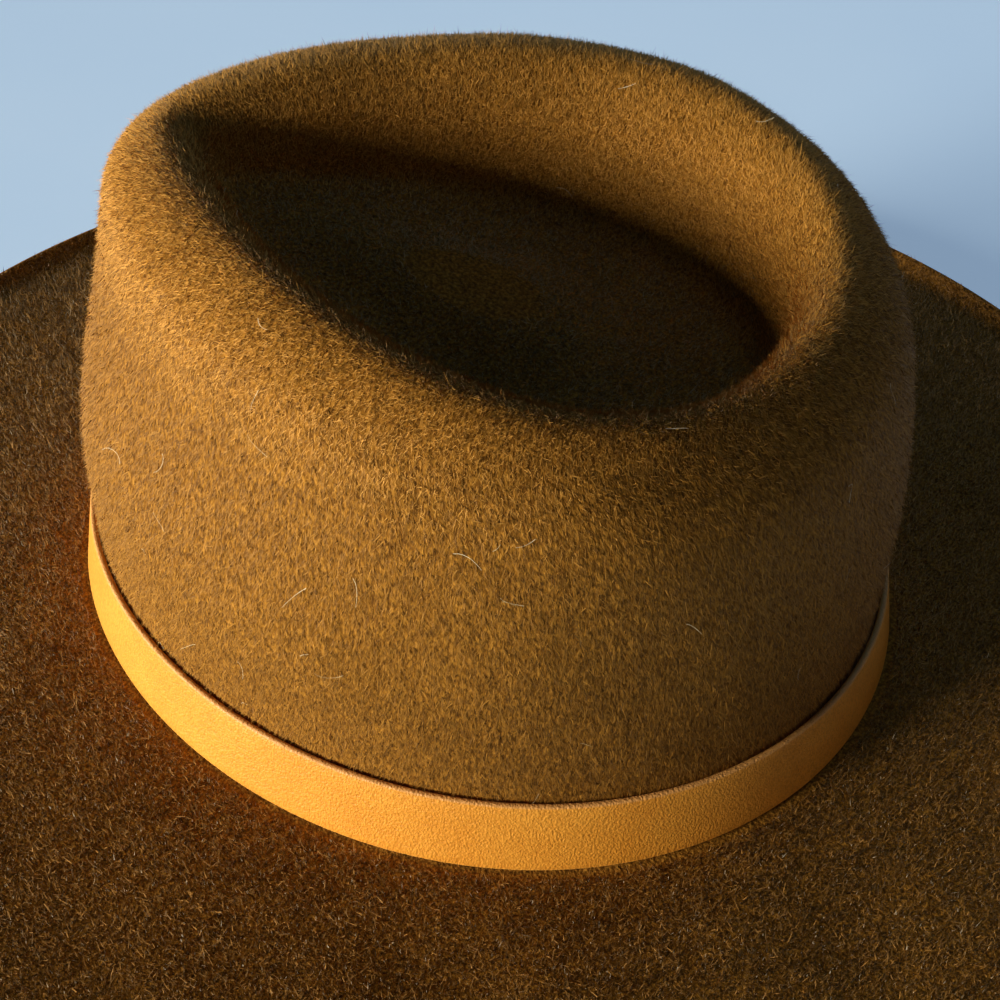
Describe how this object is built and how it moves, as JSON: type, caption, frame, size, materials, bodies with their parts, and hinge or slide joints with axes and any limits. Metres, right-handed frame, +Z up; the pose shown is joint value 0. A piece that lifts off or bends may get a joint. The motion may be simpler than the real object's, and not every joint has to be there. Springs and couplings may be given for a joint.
{
  "type": "flat brim fedora",
  "caption": "Felt hat with a wide, stiff, flat brim with a turned-up edge, a teardrop dent in the crown and a plain leather band round its foot.",
  "frame": {"origin": "bottom centre of the hat's bounding box, on the surface that the brim rests on", "axes": "+Z up through the crown, -Y to the front of the hat, where the dent comes to its point, +X to the wearer's left"},
  "size_m": [0.3636, 0.3772, 0.1195],
  "materials": {
    "felt": "thick felt, tobacco brown, short brushed nap",
    "leather": "natural tan strap, fine grain, matt"
  },
  "bodies": {
    "root": {"felt_body": "felt", "hat_band": "leather"}
  },
  "joints": []
}
